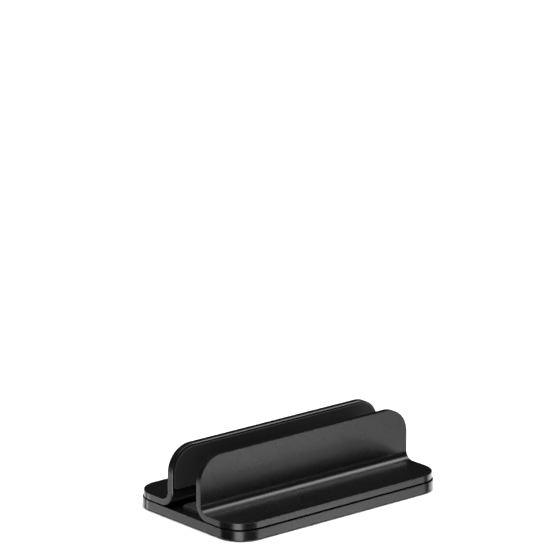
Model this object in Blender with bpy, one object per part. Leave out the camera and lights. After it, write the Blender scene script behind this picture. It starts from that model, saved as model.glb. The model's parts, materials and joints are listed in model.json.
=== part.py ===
"""Adjustable vertical laptop dock: a base plate that carries two sliding L-shaped brackets.

Run it with: blender --background --python part.py

Units are metres and +Z is up. The origin is the centre of the footprint, on the desk. +X runs along the
slot that the laptop stands in, and the front bracket is on the -Y side.
"""

import math

import bpy
from mathutils import Vector

MM = 0.001

# Driving dimensions
LENGTH = 150 * MM  # of the base plate and of both brackets, along X
BASE_DEPTH = 92 * MM
BASE_THICKNESS = 5.2 * MM
BASE_CORNER = 15 * MM
SHEET = 4 * MM  # thickness of a bracket
WALL_HEIGHT = 35 * MM  # of a bracket, measured outside the bend
FOOT_DEPTH = 34.8 * MM  # of a bracket, measured outside the bend
INNER_BEND = 5 * MM
WALL_CORNER = 15 * MM
LAPTOP = 18 * MM  # thickness of the laptop that the brackets are set for
FOOT_PROUD = 0.8 * MM  # how far the rubber feet stand below the base plate
EDGE_BREAK = 0.25 * MM

# Clearances between pieces that touch on the real object
SEAT_GAP = 0.3 * MM
BOND_GAP = 0.1 * MM
RUNNING_GAP = 0.15 * MM

# Silicone pieces
LINER_THICKNESS = 1.0 * MM
LINER_INSET = 1.2 * MM  # from the wall's ends and top
LINER_LOW = 2.2 * MM  # from the end of the bend to the liner's lower edge
LINER_LOW_CORNER = 2 * MM
LAPTOP_CLEARANCE = 0.1 * MM
CRADLE_LENGTH = 140 * MM
CRADLE_WIDTH = 17 * MM
CRADLE_THICKNESS = 2.7 * MM
CRADLE_SUNK = 0.5 * MM
CRADLE_CORNER = 3 * MM
FOOT_RADIUS = 7 * MM
FOOT_SUNK = 0.7 * MM
SOFT_BREAK = 0.3 * MM

# Clamp screws, M4 x 6 button head, with plain washers
SCREW_X = 45 * MM
SCREW_FROM_BEND = 6 * MM  # from the start of the bend, out towards the foot's edge
SCREW_RADIUS = 2 * MM
SCREW_LENGTH = 6 * MM
HEAD_RADIUS = 3.8 * MM
HEAD_HEIGHT = 2.2 * MM
HEAD_RIM = 0.3 * MM  # height of the straight rim under the dome
HEAD_FLAT_RADIUS = 2 * MM
SOCKET_ACROSS_FLATS = 2.5 * MM
SOCKET_DEPTH = 1.3 * MM
TIP_CHAMFER = 0.4 * MM
WASHER_RADIUS = 4.5 * MM
WASHER_THICKNESS = 0.8 * MM
TAPPED_DEPTH = 3.2 * MM

# Slots in the base plate, which set how far a bracket slides
SLIDE_OUT = 9 * MM
SLIDE_IN = 4.4 * MM
SLOT_SIDE_GAP = 0.25 * MM
HEAD_SLOT_DEPTH = 3.3 * MM

ARC_STEPS = 12  # facets in a quarter circle
ROUND_STEPS = 24  # facets in a full circle, a multiple of six for the hexagon socket
OVERCUT = 2 * MM  # how far a cutter runs past the face that it opens

ROWS = (("front", -1), ("rear", 1))  # name and side along Y
ENDS = (("left", -1), ("right", 1))  # name and side along X

# Derived levels and places
BASE_LOW = FOOT_PROUD
BASE_TOP = BASE_LOW + BASE_THICKNESS
BRACKET_LOW = BASE_TOP + SEAT_GAP
BRACKET_TOP = BRACKET_LOW + WALL_HEIGHT
OUTER_BEND = INNER_BEND + SHEET
WALL_INSIDE = LAPTOP / 2 + LAPTOP_CLEARANCE + LINER_THICKNESS + BOND_GAP  # from Y = 0 to a wall's inner face
BEND_START = WALL_INSIDE + OUTER_BEND
SCREW_Y = BEND_START + SCREW_FROM_BEND
WEB_LOW = BASE_LOW + HEAD_SLOT_DEPTH
WASHER_LOW = WEB_LOW - BOND_GAP - WASHER_THICKNESS
HEAD_TOP = WASHER_LOW - BOND_GAP

# name: (colour, metallic, roughness)
MATERIALS = {
    "black_anodised_aluminium": ((0.075, 0.075, 0.078), 1.0, 0.34),
    "black_silicone": ((0.018, 0.018, 0.019), 0.0, 0.72),
    "foot_rubber": ((0.03, 0.03, 0.03), 0.0, 0.8),
    "black_oxide_steel": ((0.11, 0.11, 0.115), 1.0, 0.38),
    "zinc_plated_steel": ((0.55, 0.56, 0.57), 1.0, 0.32),
}


def clear_scene():
    for obj in list(bpy.data.objects):
        bpy.data.objects.remove(obj)


def make_material(name):
    colour, metallic, roughness = MATERIALS[name]
    material = bpy.data.materials.new(name)
    material.use_nodes = True
    shader = material.node_tree.nodes["Principled BSDF"]
    shader.inputs["Base Color"].default_value = (*colour, 1)
    shader.inputs["Metallic"].default_value = metallic
    shader.inputs["Roughness"].default_value = roughness
    material.diffuse_color = (*colour, 1)
    return material


def arc(centre, radius, start, end, steps=ARC_STEPS):
    """Points of a plane arc, with its angles in degrees and both ends included."""
    angles = [math.radians(start + (end - start) * k / steps) for k in range(steps + 1)]
    return [(centre[0] + radius * math.cos(a), centre[1] + radius * math.sin(a)) for a in angles]


def rounded_rectangle(length, width, radius):
    """Anticlockwise outline about the origin."""
    x, y = length / 2 - radius, width / 2 - radius
    outline = []
    for centre, start in (((x, y), 0), ((-x, y), 90), ((-x, -y), 180), ((x, -y), 270)):
        outline += arc(centre, radius, start, start + 90)
    return outline


def stadium(x, y_from, y_to, radius):
    """Anticlockwise outline of a slot that runs along Y between two end centres."""
    return arc((x, y_to), radius, 0, 180) + arc((x, y_from), radius, 180, 360)


def circle(radius, steps=ROUND_STEPS):
    return arc((0, 0), radius, 0, 360 - 360 / steps, steps - 1)


def hexagon(across_flats, steps=ROUND_STEPS):
    """Hexagon outline with as many points as a circle, so that the two can be bridged."""
    inradius = across_flats / 2
    points = []
    for k in range(steps):
        angle = 2 * math.pi * k / steps
        from_flat = (angle + math.pi / 6) % (math.pi / 3) - math.pi / 6
        reach = inradius / math.cos(from_flat)
        points.append((reach * math.cos(angle), reach * math.sin(angle)))
    return points


def at_height(outline, z):
    return [(x, y, z) for x, y in outline]


def add_object(name, vertices, faces, material):
    mesh = bpy.data.meshes.new(name)
    mesh.from_pydata([Vector(v) for v in vertices], [], faces)
    mesh.validate()
    obj = bpy.data.objects.new(name, mesh)
    bpy.context.scene.collection.objects.link(obj)
    if material:
        mesh.materials.append(material)
        mesh.shade_smooth()
        mesh.set_sharp_from_angle(angle=math.radians(30))
    return obj


def loft(name, rings, material=None, closed=False):
    """Solid through rings of points, listed from the lowest up and each anticlockwise seen from above.

    The end rings are capped, unless closed says that the last ring meets the first, as on a washer.
    """
    count = len(rings[0])
    vertices = [point for ring in rings for point in ring]
    pairs = list(zip(range(len(rings)), range(1, len(rings))))
    if closed:
        pairs.append((len(rings) - 1, 0))
    faces = []
    for low, high in pairs:
        for k in range(count):
            after = (k + 1) % count
            faces.append((low * count + k, low * count + after, high * count + after, high * count + k))
    if not closed:
        faces.append(tuple(reversed(range(count))))
        faces.append(tuple(range((len(rings) - 1) * count, len(rings) * count)))
    return add_object(name, vertices, faces, material)


def prism(name, outline, low, high, material=None):
    return loft(name, [at_height(outline, low), at_height(outline, high)], material)


def break_edges(obj, width, segments=2, angle=50):
    bevel = obj.modifiers.new("Broken edges", "BEVEL")
    bevel.width = width
    bevel.segments = segments
    bevel.limit_method = "ANGLE"
    bevel.angle_limit = math.radians(angle)


def cut(obj, cutter):
    cutter.hide_render = True
    cutter.display_type = "WIRE"
    boolean = obj.modifiers.new(cutter.name, "BOOLEAN")
    boolean.operation = "DIFFERENCE"
    boolean.object = cutter


def corners():
    """Name, side along X and side along Y of the four places that each hold a screw and a rubber foot."""
    return [(f"{row}_{end}", x_side, y_side) for row, y_side in ROWS for end, x_side in ENDS]


def slot_cutter(place, x_side, y_side):
    """Stepped slot: narrow for a screw's shank at the top, and wide for its head and washer below."""
    x = x_side * SCREW_X
    reach = sorted((y_side * (SCREW_Y + SLIDE_OUT), y_side * (SCREW_Y - SLIDE_IN)))
    wide = stadium(x, *reach, WASHER_RADIUS + 2 * SLOT_SIDE_GAP)
    narrow = stadium(x, *reach, SCREW_RADIUS + SLOT_SIDE_GAP)
    rings = [
        at_height(wide, BASE_LOW - OVERCUT),
        at_height(wide, WEB_LOW),
        at_height(narrow, WEB_LOW),
        at_height(narrow, BASE_TOP + OVERCUT),
    ]
    return loft(f"cutter_slot_{place}", rings)


def foot_pocket_cutter(place, x_side, y_side):
    outline = circle(FOOT_RADIUS + BOND_GAP)
    top = BASE_LOW + FOOT_SUNK + BOND_GAP
    pocket = prism(f"cutter_foot_pocket_{place}", outline, BASE_LOW - OVERCUT, top)
    pocket.location.xy = foot_centre(x_side, y_side)
    return pocket


def foot_centre(x_side, y_side):
    """A rubber foot shares its centre with the base plate's rounded corner."""
    return x_side * (LENGTH / 2 - BASE_CORNER), y_side * (BASE_DEPTH / 2 - BASE_CORNER)


def make_base_plate(material):
    outline = rounded_rectangle(LENGTH, BASE_DEPTH, BASE_CORNER)
    plate = prism("base_plate", outline, BASE_LOW, BASE_TOP, material)
    break_edges(plate, EDGE_BREAK)

    recess = rounded_rectangle(
        CRADLE_LENGTH + 2 * BOND_GAP, CRADLE_WIDTH + 2 * BOND_GAP, CRADLE_CORNER + BOND_GAP
    )
    cut(plate, prism("cutter_cradle_recess", recess, BASE_TOP - CRADLE_SUNK - BOND_GAP, BASE_TOP + OVERCUT))

    for corner in corners():
        cut(plate, slot_cutter(*corner))
        cut(plate, foot_pocket_cutter(*corner))
    return plate


def turn_to(y_side):
    """Bracket and liner are drawn for the front, and turned half round for the rear."""
    return 0 if y_side < 0 else math.pi


def screw_centre(x_side, y_side):
    return x_side * SCREW_X, y_side * SCREW_Y


def bracket_rows():
    """(half length, y, z) of rows on the front bracket's middle surface, from foot's edge to wall's top."""
    half = LENGTH / 2
    middle_bend = INNER_BEND + SHEET / 2
    foot_edge = -WALL_INSIDE - FOOT_DEPTH
    foot_z = BRACKET_LOW + SHEET / 2
    wall_y = -WALL_INSIDE - SHEET / 2
    rows = []
    for along, out in arc((BASE_CORNER, half - BASE_CORNER), BASE_CORNER, 180, 90):
        rows.append((out, foot_edge + along, foot_z))
    bend_centre = (-BEND_START, BRACKET_LOW + OUTER_BEND)
    for y, z in arc(bend_centre, middle_bend, 270, 360):
        rows.append((half, y, z))
    for up, out in arc((BRACKET_TOP - WALL_CORNER, half - WALL_CORNER), WALL_CORNER, 90, 0):
        rows.append((out, wall_y, up))
    return rows


def make_bracket(row, y_side, material):
    """Bent sheet: a strip of faces along the middle of the sheet, thickened to both sides."""
    name = f"{row}_bracket"
    vertices = []
    for half, y, z in bracket_rows():
        vertices += [(-half, y, z), (half, y, z)]
    faces = [(k, k + 1, k + 3, k + 2) for k in range(0, len(vertices) - 2, 2)]
    bracket = add_object(name, vertices, faces, material)
    bracket.rotation_euler.z = turn_to(y_side)

    sheet = bracket.modifiers.new("Sheet", "SOLIDIFY")
    sheet.thickness = SHEET
    sheet.offset = 0
    sheet.use_even_offset = True
    break_edges(bracket, EDGE_BREAK)

    bore = circle(SCREW_RADIUS + RUNNING_GAP)
    for end, x_side in ENDS:
        hole = prism(f"cutter_hole_{row}_{end}", bore, BRACKET_LOW - OVERCUT, BRACKET_LOW + TAPPED_DEPTH)
        hole.location.xy = screw_centre(x_side, y_side)
        cut(bracket, hole)
    return bracket


def make_wall_liner(row, y_side, material):
    """Silicone sheet on a wall's inner face, following the wall's rounded top corners."""
    half = LENGTH / 2 - LINER_INSET
    low = BRACKET_LOW + OUTER_BEND + LINER_LOW
    high = BRACKET_TOP - LINER_INSET
    top_corner = WALL_CORNER - LINER_INSET
    outline = arc((-half + LINER_LOW_CORNER, low + LINER_LOW_CORNER), LINER_LOW_CORNER, 180, 270)
    outline += arc((half - LINER_LOW_CORNER, low + LINER_LOW_CORNER), LINER_LOW_CORNER, 270, 360)
    outline += arc((half - top_corner, high - top_corner), top_corner, 0, 90)
    outline += arc((-half + top_corner, high - top_corner), top_corner, 90, 180)
    inner = -WALL_INSIDE + BOND_GAP + LINER_THICKNESS
    outer = -WALL_INSIDE + BOND_GAP
    rings = [[(x, y, z) for x, z in outline] for y in (inner, outer)]
    liner = loft(f"{row}_wall_liner", rings, material)
    liner.rotation_euler.z = turn_to(y_side)
    break_edges(liner, SOFT_BREAK)
    return liner


def make_cradle_pad(material):
    outline = rounded_rectangle(CRADLE_LENGTH, CRADLE_WIDTH, CRADLE_CORNER)
    low = BASE_TOP - CRADLE_SUNK
    pad = prism("cradle_pad", outline, low, low + CRADLE_THICKNESS, material)
    break_edges(pad, SOFT_BREAK)
    return pad


def make_foot(place, x_side, y_side, material):
    foot = prism(f"foot_{place}", circle(FOOT_RADIUS), 0, BASE_LOW + FOOT_SUNK, material)
    foot.location.xy = foot_centre(x_side, y_side)
    break_edges(foot, SOFT_BREAK)
    return foot


def make_clamp_screw(place, x_side, y_side, material):
    """Button head screw, with its head down and its hexagon socket open to the desk."""
    face = HEAD_TOP - HEAD_HEIGHT
    rim = HEAD_TOP - HEAD_RIM
    dome = arc((0, 0), 1, 270, 360, ARC_STEPS // 2)
    rings = [
        at_height(hexagon(SOCKET_ACROSS_FLATS), face + SOCKET_DEPTH),
        at_height(hexagon(SOCKET_ACROSS_FLATS), face),
    ]
    for out, down in dome:
        radius = HEAD_FLAT_RADIUS + (HEAD_RADIUS - HEAD_FLAT_RADIUS) * out
        rings.append(at_height(circle(radius), rim + (rim - face) * down))
    shank_top = HEAD_TOP + SCREW_LENGTH
    rings += [
        at_height(circle(HEAD_RADIUS), HEAD_TOP),
        at_height(circle(SCREW_RADIUS), HEAD_TOP),
        at_height(circle(SCREW_RADIUS), shank_top - TIP_CHAMFER),
        at_height(circle(SCREW_RADIUS - TIP_CHAMFER), shank_top),
    ]
    screw = loft(f"clamp_screw_{place}", rings, material)
    screw.location.xy = screw_centre(x_side, y_side)
    return screw


def make_washer(place, x_side, y_side, material):
    bore = SCREW_RADIUS + RUNNING_GAP
    low, high = WASHER_LOW, WASHER_LOW + WASHER_THICKNESS
    rings = [
        at_height(circle(WASHER_RADIUS), low),
        at_height(circle(WASHER_RADIUS), high),
        at_height(circle(bore), high),
        at_height(circle(bore), low),
    ]
    washer = loft(f"clamp_washer_{place}", rings, material, closed=True)
    washer.location.xy = screw_centre(x_side, y_side)
    return washer


def make_slide(name, children):
    """Empty that carries a bracket and everything that slides with it along Y."""
    slide = bpy.data.objects.new(name, None)
    bpy.context.scene.collection.objects.link(slide)
    for child in children:
        child.parent = slide


def main():
    clear_scene()
    aluminium, silicone, rubber, oxide, zinc = (make_material(name) for name in MATERIALS)
    make_base_plate(aluminium)
    make_cradle_pad(silicone)
    for corner in corners():
        make_foot(*corner, rubber)
    for row, y_side in ROWS:
        moving = [make_bracket(row, y_side, aluminium), make_wall_liner(row, y_side, silicone)]
        for end, x_side in ENDS:
            moving.append(make_clamp_screw(f"{row}_{end}", x_side, y_side, oxide))
            moving.append(make_washer(f"{row}_{end}", x_side, y_side, zinc))
        make_slide(f"{row}_bracket_slide", moving)


main()
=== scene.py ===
"""Looks of the vertical laptop dock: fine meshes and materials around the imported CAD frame.

Everything is in metres, in the frame of the CAD model: +X along the laptop's slot, -Y towards the front
bracket, and the desk at Z = 0. Sizes that a node's box gives are read from it. The others are named here.
"""

import json
import math

import bpy
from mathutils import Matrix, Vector


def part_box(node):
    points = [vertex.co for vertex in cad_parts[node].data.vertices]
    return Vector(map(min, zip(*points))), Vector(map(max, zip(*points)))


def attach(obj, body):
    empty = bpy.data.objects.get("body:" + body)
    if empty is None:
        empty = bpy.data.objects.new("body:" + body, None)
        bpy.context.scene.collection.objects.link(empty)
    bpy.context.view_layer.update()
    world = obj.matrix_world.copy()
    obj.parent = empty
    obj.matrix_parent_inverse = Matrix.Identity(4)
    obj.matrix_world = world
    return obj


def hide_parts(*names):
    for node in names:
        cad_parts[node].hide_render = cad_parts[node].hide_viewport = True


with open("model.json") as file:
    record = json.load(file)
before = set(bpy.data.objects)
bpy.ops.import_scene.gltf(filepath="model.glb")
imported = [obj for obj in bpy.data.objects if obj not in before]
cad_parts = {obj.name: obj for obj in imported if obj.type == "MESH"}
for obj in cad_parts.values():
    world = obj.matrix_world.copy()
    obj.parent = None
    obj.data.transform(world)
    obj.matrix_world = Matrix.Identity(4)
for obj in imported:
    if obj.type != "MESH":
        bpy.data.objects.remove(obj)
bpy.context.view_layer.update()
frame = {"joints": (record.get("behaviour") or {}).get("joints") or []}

MM = 0.001

ROWS = (("front", -1), ("rear", 1))  # each bracket, and the side of the laptop that it is on along Y
ENDS = ("left", "right")

# Base plate, with stepped slots for the screws. The brackets share its corners and rounded edges.
PLATE_CORNER = 15 * MM
EDGE_ROUND = 0.2 * MM
HEAD_SLOT_DEPTH = 3.3 * MM
SLOT_SIDE_GAP = 0.25 * MM
SLOT_RIM = 0.25 * MM

# Brackets of bent sheet, with blind holes for the screws
SHEET = 4 * MM
INNER_BEND = 5 * MM
WALL_CORNER = 15 * MM
EDGE_CHAMFER = 0.45 * MM
CHAMFER_BLEND = 0.08 * MM
TAPPED_DEPTH = 3.2 * MM
HOLE_GAP = 0.15 * MM

# Silicone liners and pad, and rubber feet
LINER_TOP_CORNER = 13.8 * MM
LINER_LOW_CORNER = 2 * MM
PAD_CORNER = 3 * MM
PAD_SUNK = 0.5 * MM
SOFT_ROUND = 0.4 * MM
FOOT_ROUND = 0.5 * MM
FOOT_SUNK = 0.7 * MM
BOND_GAP = 0.1 * MM

# M4 button head screw and its washer
SHANK_RADIUS = 2 * MM
PLAIN_SHANK = 0.5 * MM
PITCH = 0.7 * MM
THREAD_DEPTH = 0.38 * MM
TIP_CHAMFER = 0.3 * MM
HEAD_GAP = 0.1 * MM
HEAD_RIM = 0.3 * MM
HEAD_CHAMFER = 0.1 * MM
HEAD_FLAT_RADIUS = 1.9 * MM
SOCKET_ACROSS_FLATS = 2.5 * MM
SOCKET_DEPTH = 1.3 * MM
SOCKET_CHAMFER = 0.15 * MM
PILOT_RADIUS = 0.8 * MM
WASHER_ROUND = 0.15 * MM

# Fineness of the meshes, and how far a cutter reaches past the face that it opens
ARC_STEPS = 40
EDGE_STEPS = 5
ROUND_STEPS = 96
DOME_STEPS = 16
RINGS_PER_PITCH = 10
SHARP_ANGLE = math.radians(35)
OVERCUT = 2 * MM

# Shader textures: the range that holds most of a noise, and a wave's phase per unit at a scale of 1
NOISE_LOW, NOISE_HIGH = 0.3, 0.7
WAVE_RADIANS = 20

# Studio: how far away the panels are, and how far the floor reaches
PANEL_DISTANCE = 1.5
FLOOR_REACH = 60


# ---------------------------------------------------------------- outlines and meshes


def arc(centre, radius, start, end, steps=ARC_STEPS):
    """Points of a plane arc, with its angles in degrees and both ends included."""
    angles = [math.radians(start + (end - start) * k / steps) for k in range(steps + 1)]
    return [(centre[0] + radius * math.cos(a), centre[1] + radius * math.sin(a)) for a in angles]


def rounded_rectangle(low, high, low_corner, high_corner, inset):
    """Anticlockwise outline, drawn in by inset, with one corner radius below and another one above."""
    (x0, y0), (x1, y1) = (low[0] + inset, low[1] + inset), (high[0] - inset, high[1] - inset)
    below, above = low_corner - inset, high_corner - inset
    return (
        arc((x1 - above, y1 - above), above, 0, 90)
        + arc((x0 + above, y1 - above), above, 90, 180)
        + arc((x0 + below, y0 + below), below, 180, 270)
        + arc((x1 - below, y0 + below), below, 270, 360)
    )


def circle(radius, centre=(0, 0)):
    return arc(centre, radius, 0, 360 - 360 / ROUND_STEPS, ROUND_STEPS - 1)


def hexagon(across_flats):
    """Hexagon outline with as many points as a circle, so that the two can be bridged."""
    points = []
    for k in range(ROUND_STEPS):
        angle = 2 * math.pi * k / ROUND_STEPS
        from_flat = (angle + math.pi / 6) % (math.pi / 3) - math.pi / 6
        reach = across_flats / 2 / math.cos(from_flat)
        points.append((reach * math.cos(angle), reach * math.sin(angle)))
    return points


def stadium(x, y_from, y_to, radius):
    return arc((x, y_to), radius, 0, 180) + arc((x, y_from), radius, 180, 360)


def at_height(outline, z):
    return [(x, y, z) for x, y in outline]


def add_object(name, vertices, faces, material=None):
    mesh = bpy.data.meshes.new(name)
    mesh.from_pydata(vertices, [], faces)
    mesh.validate()
    obj = bpy.data.objects.new(name, mesh)
    bpy.context.scene.collection.objects.link(obj)
    if material:
        mesh.materials.append(material)
    return obj


def caps(count, rings, ladder):
    """End faces of a loft: one polygon each, or on a bent sheet rungs between the halves of the ring."""
    last = (rings - 1) * count
    if not ladder:
        return [tuple(reversed(range(count))), tuple(range(last, last + count))]
    rungs = [(k, count - 1 - k, count - 2 - k, k + 1) for k in range(count // 2 - 1)]
    return rungs + [tuple(last + k for k in reversed(rung)) for rung in rungs]


def loft(name, rings, material=None, closed=False, ladder_caps=False):
    """Solid through rings of points. The end rings are capped, unless the last ring meets the first."""
    count = len(rings[0])
    vertices = [point for ring in rings for point in ring]
    pairs = list(zip(range(len(rings)), range(1, len(rings))))
    if closed:
        pairs.append((len(rings) - 1, 0))
    faces = []
    for low, high in pairs:
        for k in range(count):
            after = (k + 1) % count
            faces.append((low * count + k, low * count + after, high * count + after, high * count + k))
    if not closed:
        faces += caps(count, len(rings), ladder_caps)
    return add_object(name, vertices, faces, material)


def edge_profile(low, high, radius):
    """(inset, height) pairs that round both edges of a slab, from its low face to its high one."""
    steps = [math.radians(90 * k / EDGE_STEPS) for k in range(EDGE_STEPS + 1)]
    bottom = [(radius * (1 - math.sin(a)), low + radius * (1 - math.cos(a))) for a in steps]
    top = [(inset, low + high - height) for inset, height in reversed(bottom)]
    return bottom + top


def slab(name, outline, low, high, radius, material, place=at_height):
    """Plate with both edges rounded.

    outline(inset) gives its points, and place(points, height) puts them in space.
    """
    rings = [place(outline(inset), height) for inset, height in edge_profile(low, high, radius)]
    return loft(name, rings, material)


def smooth(obj):
    """Smooth shading that keeps flat faces flat. Its modifier has to be the last one."""
    obj.data.shade_smooth()
    normals = obj.modifiers.new("Flat faces stay flat", "WEIGHTED_NORMAL")
    normals.keep_sharp = True
    obj.data.set_sharp_from_angle(angle=SHARP_ANGLE)


def cut(obj, cutter):
    cutter.hide_render = True
    boolean = obj.modifiers.new(cutter.name, "BOOLEAN")
    boolean.operation = "DIFFERENCE"
    boolean.object = cutter
    return cutter


def bake_modifiers(obj, cutters):
    """Replaces the mesh by the result of its modifiers, and removes the cutters that it needed."""
    graph = bpy.context.evaluated_depsgraph_get()
    mesh = bpy.data.meshes.new_from_object(obj.evaluated_get(graph))
    obj.modifiers.clear()
    obj.data = mesh
    for cutter in cutters:
        bpy.data.objects.remove(cutter)


def round_node(node):
    """Centre and radius of the box of a CAD node that is round about an upright axis."""
    low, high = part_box(node)
    return (low + high) / 2, (high.x - low.x) / 2


def blind_hole(name, centre, radius, face, depth):
    """Cutter of a round hole that goes up into a piece from its face at that height."""
    outline = circle(radius, centre.xy)
    return loft(name, [at_height(outline, face - OVERCUT), at_height(outline, face + depth)])


def finish_piece(obj, body, node):
    """Ties a piece to its CAD body, and hides the CAD node that it stands for."""
    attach(obj, body)
    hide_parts(node)


# ---------------------------------------------------------------- materials


def principled(name, colour, roughness, metallic=0.0, ior=1.5):
    material = bpy.data.materials.new(name)
    material.use_nodes = True
    shader = material.node_tree.nodes["Principled BSDF"]
    shader.inputs["Base Color"].default_value = (*colour, 1)
    shader.inputs["Roughness"].default_value = roughness
    shader.inputs["Metallic"].default_value = metallic
    shader.inputs["IOR"].default_value = ior
    return material, shader


def noise(material, size, detail=2.0):
    """Noise over the object whose features are about size metres across."""
    nodes, links = material.node_tree.nodes, material.node_tree.links
    where = nodes.new("ShaderNodeTexCoord")
    texture = nodes.new("ShaderNodeTexNoise")
    texture.inputs["Scale"].default_value = 1 / size
    texture.inputs["Detail"].default_value = detail
    links.new(where.outputs["Object"], texture.inputs["Vector"])
    return texture.outputs["Fac"]


def rings_around_axis(material, spacing, distortion):
    """Wave over the object: rings around its own Z axis, spacing metres apart."""
    nodes, links = material.node_tree.nodes, material.node_tree.links
    where = nodes.new("ShaderNodeTexCoord")
    wave = nodes.new("ShaderNodeTexWave")
    wave.wave_type = "RINGS"
    wave.rings_direction = "Z"
    wave.inputs["Scale"].default_value = 2 * math.pi / spacing / WAVE_RADIANS
    wave.inputs["Distortion"].default_value = distortion
    links.new(where.outputs["Object"], wave.inputs["Vector"])
    return wave.outputs["Fac"]


def spread(material, source, target, low, high):
    """Maps a texture's middle range onto a socket between low and high."""
    nodes, links = material.node_tree.nodes, material.node_tree.links
    ramp = nodes.new("ShaderNodeMapRange")
    ramp.inputs["From Min"].default_value = NOISE_LOW
    ramp.inputs["From Max"].default_value = NOISE_HIGH
    ramp.inputs["To Min"].default_value = low
    ramp.inputs["To Max"].default_value = high
    links.new(source, ramp.inputs["Value"])
    links.new(ramp.outputs["Result"], target)


def tint(material, source, shader, dark, light):
    """Varies the base colour between two shades."""
    nodes, links = material.node_tree.nodes, material.node_tree.links
    ramp = nodes.new("ShaderNodeValToRGB")
    stops = zip(ramp.color_ramp.elements, (NOISE_LOW, NOISE_HIGH), (dark, light))
    for stop, position, colour in stops:
        stop.position = position
        stop.color = (*colour, 1)
    links.new(source, ramp.inputs["Fac"])
    links.new(ramp.outputs["Color"], shader.inputs["Base Color"])


def bump(material, source, shader, height):
    nodes, links = material.node_tree.nodes, material.node_tree.links
    relief = nodes.new("ShaderNodeBump")
    relief.inputs["Distance"].default_value = height
    relief.inputs["Strength"].default_value = 1
    links.new(source, relief.inputs["Height"])
    links.new(relief.outputs["Normal"], shader.inputs["Normal"])


def anodised_aluminium():
    """Black satin anodising over a fine blasted grain, a little glossier in some patches than in others."""
    black = (0.003, 0.003, 0.0031)
    material, shader = principled("black_anodised_aluminium", black, roughness=0.27, ior=1.6)
    grain = noise(material, size=0.12 * MM, detail=3)
    patches = noise(material, size=18 * MM)
    tint(material, grain, shader, dark=(0.0026, 0.0026, 0.0027), light=(0.0036, 0.0036, 0.0037))
    spread(material, patches, shader.inputs["Roughness"], low=0.26, high=0.29)
    bump(material, grain, shader, height=0.0006 * MM)
    return material


def silicone(name, shade, grain_size):
    """Matte rubbery black with a fine moulded grain."""
    material, shader = principled(name, (shade,) * 3, roughness=0.6, ior=1.41)
    shader.inputs["Sheen Weight"].default_value = 0.15
    shader.inputs["Sheen Roughness"].default_value = 0.4
    grain = noise(material, grain_size, detail=4)
    tint(material, grain, shader, dark=(shade * 0.85,) * 3, light=(shade * 1.15,) * 3)
    spread(material, grain, shader.inputs["Roughness"], low=0.52, high=0.68)
    bump(material, grain, shader, height=0.012 * MM)
    return material


def turned_steel(name, dark, light, roughness, mark_spacing):
    """Steel with fine turning marks around the piece's own axis."""
    material, shader = principled(name, light, roughness, metallic=1.0)
    marks = rings_around_axis(material, mark_spacing, distortion=1.5)
    tint(material, noise(material, size=0.8 * MM), shader, dark, light)
    spread(material, marks, shader.inputs["Roughness"], low=roughness - 0.05, high=roughness + 0.07)
    bump(material, marks, shader, height=0.002 * MM)
    return material


# ---------------------------------------------------------------- base plate


def make_base_plate(material):
    low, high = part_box("base_plate")
    plate = slab(
        "anodised_base_plate",
        lambda inset: rounded_rectangle(low, high, PLATE_CORNER, PLATE_CORNER, inset),
        low.z,
        high.z,
        EDGE_ROUND,
        material,
    )
    cutters = [cut(plate, pad_recess(high.z))]
    for row, side in ROWS:
        for end in ENDS:
            cutters.append(cut(plate, slot_cutter(row, end, side, low.z, high.z)))
            cutters.append(cut(plate, foot_pocket(row, end, low.z)))
    bake_modifiers(plate, cutters)
    smooth(plate)
    finish_piece(plate, "base", "base_plate")


def pad_recess(top):
    pad_low, pad_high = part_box("cradle_pad")
    outline = rounded_rectangle(pad_low, pad_high, PAD_CORNER, PAD_CORNER, -BOND_GAP)
    floor = top - PAD_SUNK - BOND_GAP
    return loft("cradle_recess", [at_height(outline, floor), at_height(outline, top + OVERCUT)])


def foot_pocket(row, end, underside):
    centre, radius = round_node(f"foot_{row}_{end}")
    return blind_hole(f"pocket_{row}_{end}", centre, radius + BOND_GAP, underside, FOOT_SUNK + BOND_GAP)


def joint_range(name):
    return next(joint["range_m"] for joint in frame["joints"] if joint["name"] == name)


def slot_cutter(row, end, side, low, high):
    """Stepped slot along the bracket's travel, with a small countersunk rim at both faces."""
    centre, washer = round_node(f"clamp_washer_{row}_{end}")
    inward, outward = joint_range(f"{row}_bracket_slide")
    reach = sorted((centre.y + side * inward, centre.y + side * outward))
    web = low + HEAD_SLOT_DEPTH
    wide, narrow = washer + 2 * SLOT_SIDE_GAP, SHANK_RADIUS + SLOT_SIDE_GAP
    steps = (
        (wide + SLOT_RIM + OVERCUT, low - OVERCUT),
        (wide, low + SLOT_RIM),
        (wide, web),
        (narrow + SLOT_RIM, web),
        (narrow, web + SLOT_RIM),
        (narrow, high - SLOT_RIM),
        (narrow + SLOT_RIM + OVERCUT, high + OVERCUT),
    )
    rings = [at_height(stadium(centre.x, *reach, radius), z) for radius, z in steps]
    return loft(f"slot_{row}_{end}", rings)


# ---------------------------------------------------------------- brackets


def bracket_edge():
    """(inset, depth) across the sheet's edge, from the side that lies on the base to the one in the bend.

    The first side has a chamfer with softened corners, and the second one a small rounding.
    """
    half = SHEET / 2
    chamfer = [
        (EDGE_CHAMFER + CHAMFER_BLEND, -half),
        (EDGE_CHAMFER, -half + CHAMFER_BLEND / 2),
        (CHAMFER_BLEND / 2, -half + EDGE_CHAMFER),
        (0, -half + EDGE_CHAMFER + CHAMFER_BLEND),
    ]
    steps = [math.radians(90 * k / EDGE_STEPS) for k in range(EDGE_STEPS + 1)]
    rounding = [(EDGE_ROUND * (1 - math.cos(a)), half - EDGE_ROUND * (1 - math.sin(a))) for a in steps]
    return chamfer + rounding


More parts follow.
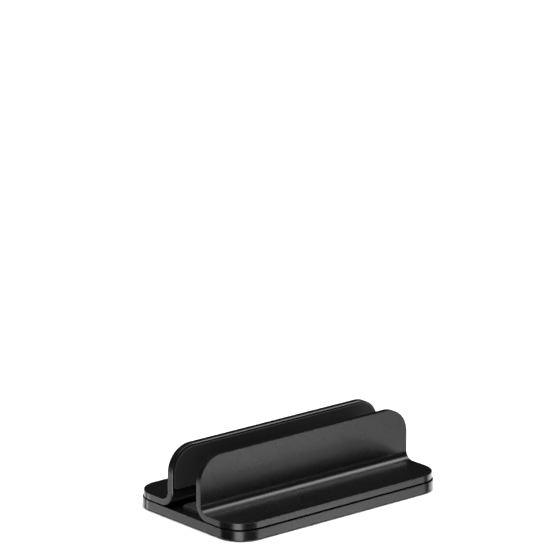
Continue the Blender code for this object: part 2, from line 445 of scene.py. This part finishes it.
def bracket_rings(side, low, high):
    """Flat blank with rounded corners, drawn as (along, out) and then bent up into foot and wall.

    low and high are the front bracket's box. The rear bracket is the same, turned halfway about Z.
    """
    bend_y, bend_z = high.y - INNER_BEND - SHEET, low.z + INNER_BEND + SHEET
    radius = INNER_BEND + SHEET / 2
    foot_flat = bend_y - low.y
    bend_length = radius * math.pi / 2
    blank_length = foot_flat + bend_length + high.z - bend_z
    half = high.x

    def blank(inset):
        points = arc((PLATE_CORNER, half - PLATE_CORNER), PLATE_CORNER - inset, 180, 90)
        points += [(foot_flat + bend_length * k / ARC_STEPS, half - inset) for k in range(ARC_STEPS + 1)]
        points += arc((blank_length - WALL_CORNER, half - WALL_CORNER), WALL_CORNER - inset, 90, 0)
        return points

    def bent(along, out, depth):
        turn = min(max((along - foot_flat) / radius, 0), math.pi / 2)
        y = bend_y + (radius - depth) * math.sin(turn) + min(along - foot_flat, 0)
        z = bend_z - (radius - depth) * math.cos(turn) + max(along - foot_flat - bend_length, 0)
        return -side * out, -side * y, z

    rings = []
    for inset, depth in bracket_edge():
        right = [bent(along, out, depth) for along, out in blank(inset)]
        left = [bent(along, -out, depth) for along, out in blank(inset)]
        rings.append(right + left[::-1])
    return rings


def make_bracket(row, side, material):
    low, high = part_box("front_bracket")
    bracket = loft(f"{row}_anodised_bracket", bracket_rings(side, low, high), material, ladder_caps=True)
    cutters = []
    for end in ENDS:
        centre, _ = round_node(f"clamp_screw_{row}_{end}")
        hole = blind_hole(f"hole_{row}_{end}", centre, SHANK_RADIUS + HOLE_GAP, low.z, TAPPED_DEPTH)
        cutters.append(cut(bracket, hole))
    bake_modifiers(bracket, cutters)
    smooth(bracket)
    finish_piece(bracket, f"{row}_bracket", f"{row}_bracket")


# ---------------------------------------------------------------- silicone and rubber


def make_wall_liner(row, material):
    low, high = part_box(f"{row}_wall_liner")

    def outline(inset):
        return rounded_rectangle((low.x, low.z), (high.x, high.z), LINER_LOW_CORNER, LINER_TOP_CORNER, inset)

    def upright(points, depth):
        return [(x, low.y + high.y - depth, z) for x, z in points]

    liner = slab(f"{row}_silicone_liner", outline, low.y, high.y, SOFT_ROUND, material, upright)
    smooth(liner)
    finish_piece(liner, f"{row}_bracket", f"{row}_wall_liner")


def make_cradle_pad(material):
    low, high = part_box("cradle_pad")
    pad = slab(
        "silicone_cradle_pad",
        lambda inset: rounded_rectangle(low, high, PAD_CORNER, PAD_CORNER, inset),
        low.z,
        high.z,
        SOFT_ROUND,
        material,
    )
    smooth(pad)
    finish_piece(pad, "base", "cradle_pad")


def make_foot(place, material):
    low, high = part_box(f"foot_{place}")
    centre, radius = round_node(f"foot_{place}")
    foot = slab(
        f"rubber_foot_{place}",
        lambda inset: circle(radius - inset),
        low.z,
        high.z,
        FOOT_ROUND,
        material,
    )
    foot.location = (centre.x, centre.y, 0)
    smooth(foot)
    finish_piece(foot, "base", f"foot_{place}")


# ---------------------------------------------------------------- screws and washers


def thread_rings(low, high):
    """Rings of a right-hand thread that runs out over half a pitch at both ends."""
    rings = []
    count = round((high - low) / PITCH * RINGS_PER_PITCH)
    for step in range(count + 1):
        z = low + (high - low) * step / count
        fade = min(1, (z - low) / (PITCH / 2), (high - z) / (PITCH / 2))
        ring = []
        for k in range(ROUND_STEPS):
            phase = ((z - low) / PITCH - k / ROUND_STEPS) % 1
            ridge = abs(2 * phase - 1)
            radius = SHANK_RADIUS - THREAD_DEPTH * (1 - ridge) * max(fade, 0)
            angle = 2 * math.pi * k / ROUND_STEPS
            ring.append((radius * math.cos(angle), radius * math.sin(angle), z))
        rings.append(ring)
    return rings


def socket_rings(face):
    """Hexagon socket, from its pilot hole down to the rim at the head's face."""
    rim_radius = SOCKET_ACROSS_FLATS / 2 / math.cos(math.pi / 6) + SOCKET_CHAMFER / 2
    return [
        at_height(circle(PILOT_RADIUS), face + SOCKET_DEPTH),
        at_height(hexagon(SOCKET_ACROSS_FLATS), face + SOCKET_DEPTH - SOCKET_CHAMFER),
        at_height(hexagon(SOCKET_ACROSS_FLATS), face + SOCKET_CHAMFER),
        at_height(circle(rim_radius), face),
    ]


def head_rings(face, under_head, head_radius):
    """Domed head, from the flat around the socket to the face that lies on the washer."""
    rim = under_head - HEAD_RIM
    rings = []
    for out, up in arc((0, 0), 1, 270, 360, DOME_STEPS):
        radius = HEAD_FLAT_RADIUS + (head_radius - HEAD_FLAT_RADIUS) * out
        rings.append(at_height(circle(radius), rim + (rim - face) * up))
    rings.append(at_height(circle(head_radius), under_head - HEAD_CHAMFER))
    rings.append(at_height(circle(head_radius - HEAD_CHAMFER), under_head))
    return rings


def make_clamp_screw(place, material):
    """M4 button head screw with its head down, drawn around its own axis."""
    low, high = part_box(f"clamp_screw_{place}")
    centre, head_radius = round_node(f"clamp_screw_{place}")
    washer_low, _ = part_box(f"clamp_washer_{place}")
    under_head = washer_low.z - HEAD_GAP
    rings = socket_rings(low.z) + head_rings(low.z, under_head, head_radius)
    rings.append(at_height(circle(SHANK_RADIUS), under_head))
    rings += thread_rings(under_head + PLAIN_SHANK, high.z - TIP_CHAMFER)
    rings.append(at_height(circle(SHANK_RADIUS - TIP_CHAMFER), high.z))
    screw = loft(f"oxide_screw_{place}", rings, material)
    screw.location = (centre.x, centre.y, 0)
    smooth(screw)
    finish_piece(screw, f"screw_{place}", f"clamp_screw_{place}")


def make_washer(place, material):
    low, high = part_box(f"clamp_washer_{place}")
    centre, outer = round_node(f"clamp_washer_{place}")
    bore = SHANK_RADIUS + HOLE_GAP
    profile = edge_profile(low.z, high.z, WASHER_ROUND)
    rings = [at_height(circle(outer - inset), z) for inset, z in profile]
    rings += [at_height(circle(bore + inset), z) for inset, z in reversed(profile)]
    washer = loft(f"zinc_washer_{place}", rings, material, closed=True)
    washer.location = (centre.x, centre.y, 0)
    smooth(washer)
    finish_piece(washer, f"washer_{place}", f"clamp_washer_{place}")


def make_stand():
    aluminium = anodised_aluminium()
    liner = silicone("black_silicone", shade=0.012, grain_size=0.25 * MM)
    rubber = silicone("foot_rubber", shade=0.018, grain_size=0.35 * MM)
    oxide = turned_steel(
        "black_oxide_steel",
        dark=(0.06, 0.06, 0.065),
        light=(0.09, 0.09, 0.095),
        roughness=0.34,
        mark_spacing=0.12 * MM,
    )
    zinc = turned_steel(
        "zinc_plated_steel",
        dark=(0.52, 0.53, 0.55),
        light=(0.62, 0.62, 0.61),
        roughness=0.3,
        mark_spacing=0.2 * MM,
    )

    make_base_plate(aluminium)
    make_cradle_pad(liner)
    for row, side in ROWS:
        make_bracket(row, side, aluminium)
        make_wall_liner(row, liner)
        for end in ENDS:
            make_foot(f"{row}_{end}", rubber)
            make_clamp_screw(f"{row}_{end}", oxide)
            make_washer(f"{row}_{end}", zinc)


# ---------------------------------------------------------------- studio


def direction(azimuth, elevation):
    """Unit vector at an azimuth counted anticlockwise from +X, and an elevation above the desk."""
    a, e = math.radians(azimuth), math.radians(elevation)
    return Vector((math.cos(a) * math.cos(e), math.sin(a) * math.cos(e), math.sin(e)))


def panel_side(angle):
    """Length that covers an angle in degrees, as seen from the stand."""
    return 2 * PANEL_DISTANCE * math.tan(math.radians(angle / 2))


def add_panel(name, at, size, radiance):
    """Softbox that faces the stand from an azimuth and elevation, with its width and height in degrees.

    Cycles gives an area light a radiance of a quarter of its power per area.
    """
    light = bpy.data.lights.new(name, "AREA")
    light.shape = "RECTANGLE"
    light.size, light.size_y = (panel_side(angle) for angle in size)
    light.energy = 4 * radiance * light.size * light.size_y
    panel = bpy.data.objects.new(name, light)
    bpy.context.scene.collection.objects.link(panel)
    towards = direction(*at)
    panel.location = towards * PANEL_DISTANCE
    panel.rotation_euler = towards.to_track_quat("Z", "Y").to_euler()
    panel.visible_camera = False


def add_ceiling(irradiance, across):
    """Soft disc overhead, across degrees wide, that lights the floor evenly and isn't mirrored."""
    light = bpy.data.lights.new("soft_ceiling", "SUN")
    light.angle = math.radians(across)
    light.energy = irradiance
    ceiling = bpy.data.objects.new("soft_ceiling", light)
    bpy.context.scene.collection.objects.link(ceiling)
    ceiling.visible_glossy = False


def add_floor():
    """Pale floor that the metal doesn't mirror, and that lets the light of the panels below it through."""
    reach = FLOOR_REACH
    corners = [(-reach, -reach, 0), (reach, -reach, 0), (reach, reach, 0), (-reach, reach, 0)]
    material, shader = principled("pale_floor", colour=(0.9, 0.9, 0.9), roughness=0.9)
    shader.inputs["Specular IOR Level"].default_value = 0
    floor = add_object("floor", corners, [(0, 1, 2, 3)], material)
    floor.visible_glossy = False
    floor.visible_shadow = False


def add_world():
    """White behind the floor for the camera, and nearly black for what is lit or mirrored."""
    world = bpy.data.worlds.new("studio")
    world.use_nodes = True
    nodes, links = world.node_tree.nodes, world.node_tree.links
    backdrop = nodes.new("ShaderNodeBackground")
    backdrop.inputs["Color"].default_value = (1, 1, 1, 1)
    dim = nodes["Background"]
    dim.inputs["Color"].default_value = (0.01, 0.01, 0.01, 1)
    rays = nodes.new("ShaderNodeLightPath")
    mix = nodes.new("ShaderNodeMixShader")
    links.new(rays.outputs["Is Camera Ray"], mix.inputs["Fac"])
    links.new(dim.outputs["Background"], mix.inputs[1])
    links.new(backdrop.outputs["Background"], mix.inputs[2])
    links.new(mix.outputs["Shader"], nodes["World Output"].inputs["Surface"])
    bpy.context.scene.world = world


def add_camera():
    """Long lens from the front left, well above the desk, aimed over the stand."""
    aim = Vector((-0.0182, -0.014, 0.1319))
    azimuth, elevation, distance = -130.14, 15.89, 2.5
    data = bpy.data.cameras.new("camera")
    data.lens = 295.2
    data.clip_start = 0.05
    data.clip_end = 200
    camera = bpy.data.objects.new("camera", data)
    bpy.context.scene.collection.objects.link(camera)
    back = direction(azimuth, elevation)
    camera.location = aim + back * distance
    camera.rotation_euler = back.to_track_quat("Z", "Y").to_euler()
    bpy.context.scene.camera = camera


def light_studio():
    """The first seven panels shape what the camera sees mirrored, and the others serve other views."""
    add_ceiling(irradiance=3.5, across=60)
    add_panel("front_faces", at=(-46, -29), size=(10, 14), radiance=6.9)
    add_panel("wall_sheen", at=(-52, -15), size=(8, 14), radiance=1.7)
    add_panel("bend_line", at=(-66, -2), size=(10, 12), radiance=4.2)
    add_panel("near_corner", at=(-140.5, -17), size=(30, 20), radiance=3.45)
    add_panel("right_corner", at=(13, -17), size=(56, 24), radiance=1.8)
    add_panel("left_ends", at=(121, -17), size=(12, 24), radiance=3.7)
    add_panel("fillet_line", at=(-15, 49), size=(26, 14), radiance=4.3)
    add_panel("overhead", at=(0, 90), size=(60, 60), radiance=1.3)
    add_panel("front_fill", at=(-90, 14), size=(50, 16), radiance=1.2)
    add_panel("rear_fill", at=(90, 14), size=(40, 16), radiance=1.2)
    add_panel("rear_sheen", at=(84, -15), size=(24, 14), radiance=1.5)
    add_panel("front_low", at=(-94, -42), size=(40, 16), radiance=0.9)
    add_panel("rear_low", at=(86, -38), size=(50, 20), radiance=0.9)
    add_panel("left_fill", at=(180, 14), size=(40, 16), radiance=0.4)
    add_panel("right_fill", at=(0, 14), size=(40, 16), radiance=0.4)


def make_studio():
    bpy.context.scene.view_settings.view_transform = "Standard"
    add_camera()
    add_floor()
    add_world()
    light_studio()


make_studio()
make_stand()
